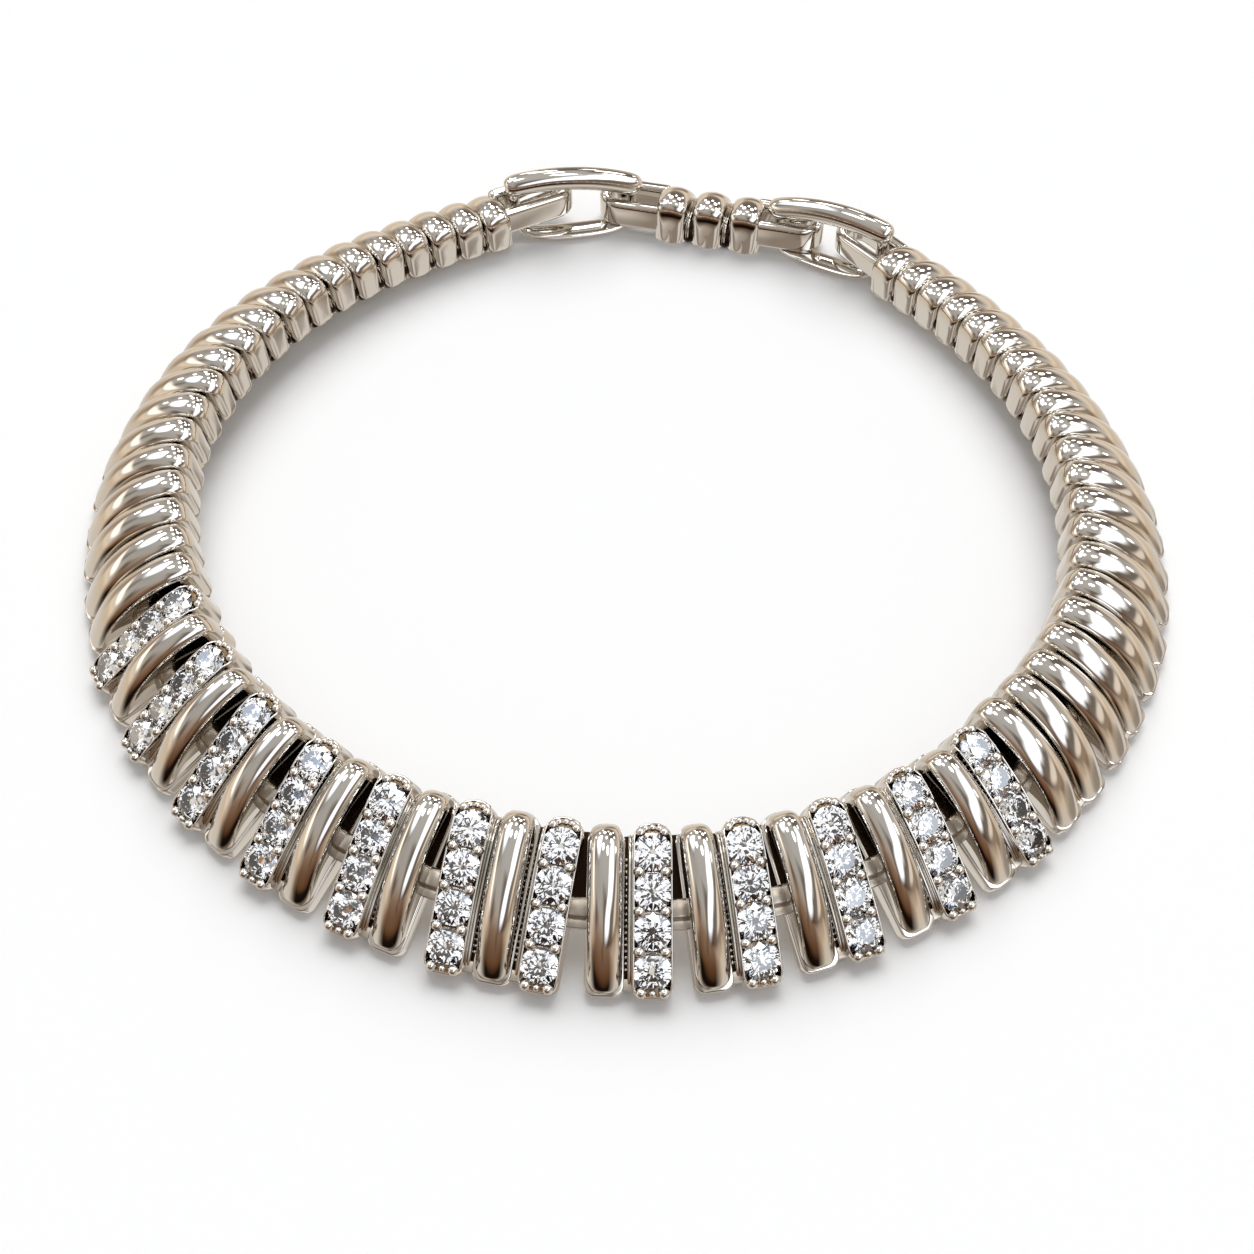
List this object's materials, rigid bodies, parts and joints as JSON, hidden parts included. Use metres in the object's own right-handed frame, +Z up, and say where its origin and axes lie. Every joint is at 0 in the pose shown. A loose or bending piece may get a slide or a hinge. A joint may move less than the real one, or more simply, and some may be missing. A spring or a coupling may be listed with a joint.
{
  "type": "collar necklace",
  "caption": "Collar necklace of hinged, rounded gold bars, the front bars alternately set with round brilliants, closed by oval rings.",
  "frame": {"origin": "centre of the bounding box in plan, at the table the collar lies on", "axes": "+Z up from the table, +Y from the front of the collar towards its closure at the back, +X to the right seen from above with the closure at the top"},
  "size_m": [0.1578, 0.1512, 0.0147],
  "materials": {
    "polished_gold": "mirror polished, warm white gold",
    "brilliant": "clear, faceted"
  },
  "bodies": {
    "root": {"link_left_15": "polished_gold", "link_left_14": "polished_gold", "link_left_13": "polished_gold", "link_left_12": "polished_gold", "link_left_11": "polished_gold", "link_left_10": "polished_gold", "link_left_09": "polished_gold", "link_left_08": "polished_gold", "link_left_07": "polished_gold", "link_left_06": "polished_gold", "link_left_05": "polished_gold", "link_left_04": "polished_gold", "link_left_03": "polished_gold", "link_left_02": "polished_gold", "link_left_01": "polished_gold", "link_centre": "polished_gold", "link_right_01": "polished_gold", "link_right_02": "polished_gold", "link_right_03": "polished_gold", "link_right_04": "polished_gold", "link_right_05": "polished_gold", "link_right_06": "polished_gold", "link_right_07": "polished_gold", "link_right_08": "polished_gold", "link_right_09": "polished_gold", "link_right_10": "polished_gold", "link_right_11": "polished_gold", "link_right_12": "polished_gold", "link_right_13": "polished_gold", "link_right_14": "polished_gold", "link_right_15": "polished_gold", "extender": "polished_gold", "clasp_ring_left": "polished_gold", "clasp_ring_right": "polished_gold"}
  },
  "joints": []
}
